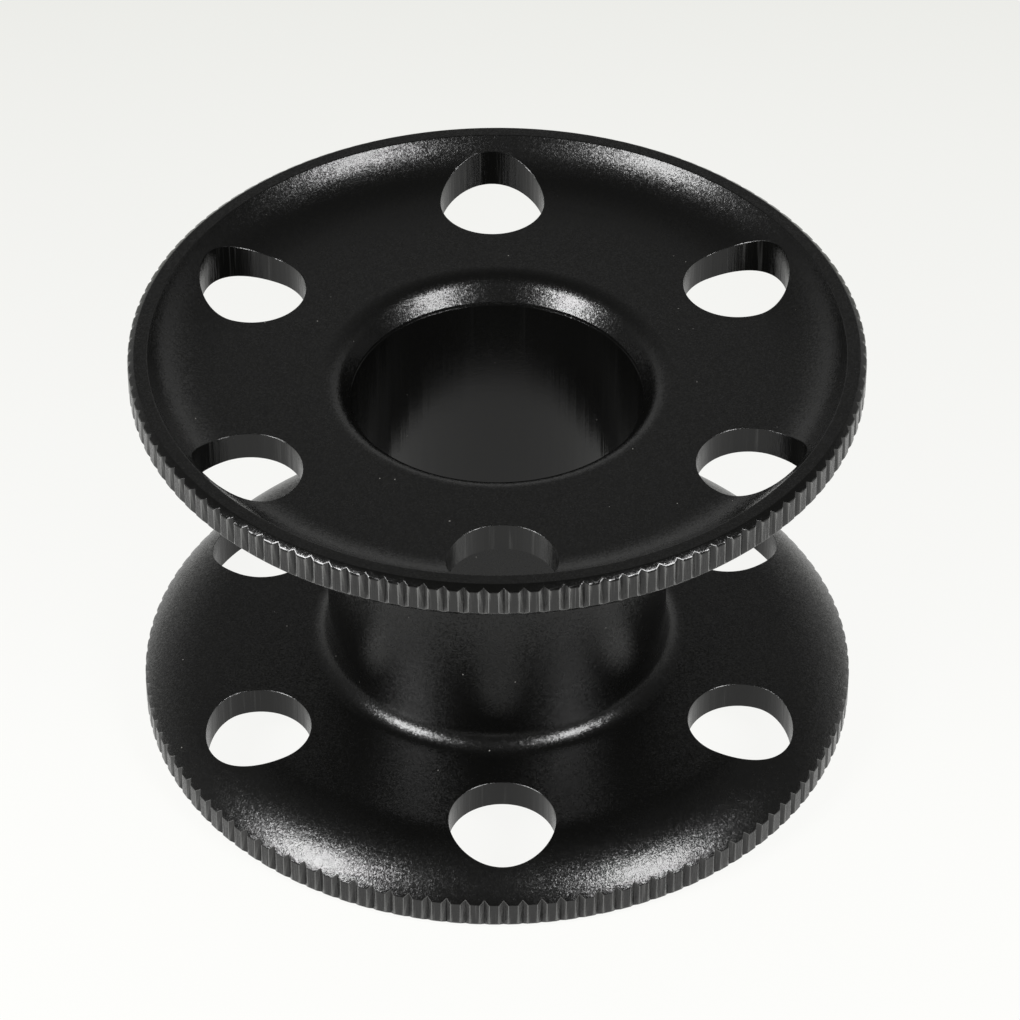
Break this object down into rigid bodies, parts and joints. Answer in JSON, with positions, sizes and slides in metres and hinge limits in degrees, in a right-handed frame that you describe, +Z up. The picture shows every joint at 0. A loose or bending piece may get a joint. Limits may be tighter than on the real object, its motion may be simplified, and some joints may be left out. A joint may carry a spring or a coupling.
{
  "type": "diving finger spool",
  "caption": "Diver's finger spool: two dished flanges with knurled rims and clip holes on a lined barrel, with a large smooth bore for a gloved finger.",
  "frame": {"origin": "centre of the plane that the lower rim stands on, on the spool's axis", "axes": "+Z up along the spool's axis, -Y through the middle of the first clip hole, which is the front"},
  "size_m": [0.09, 0.09, 0.0553],
  "materials": {
    "anodised_shell": "bead-blasted, hard black anodised",
    "anodised_bore": "smooth-turned, black anodised, semi-gloss"
  },
  "bodies": {
    "root": {"upper_flange": "anodised_shell", "lower_flange": "anodised_shell", "hub_sleeve": "anodised_bore"}
  },
  "joints": []
}
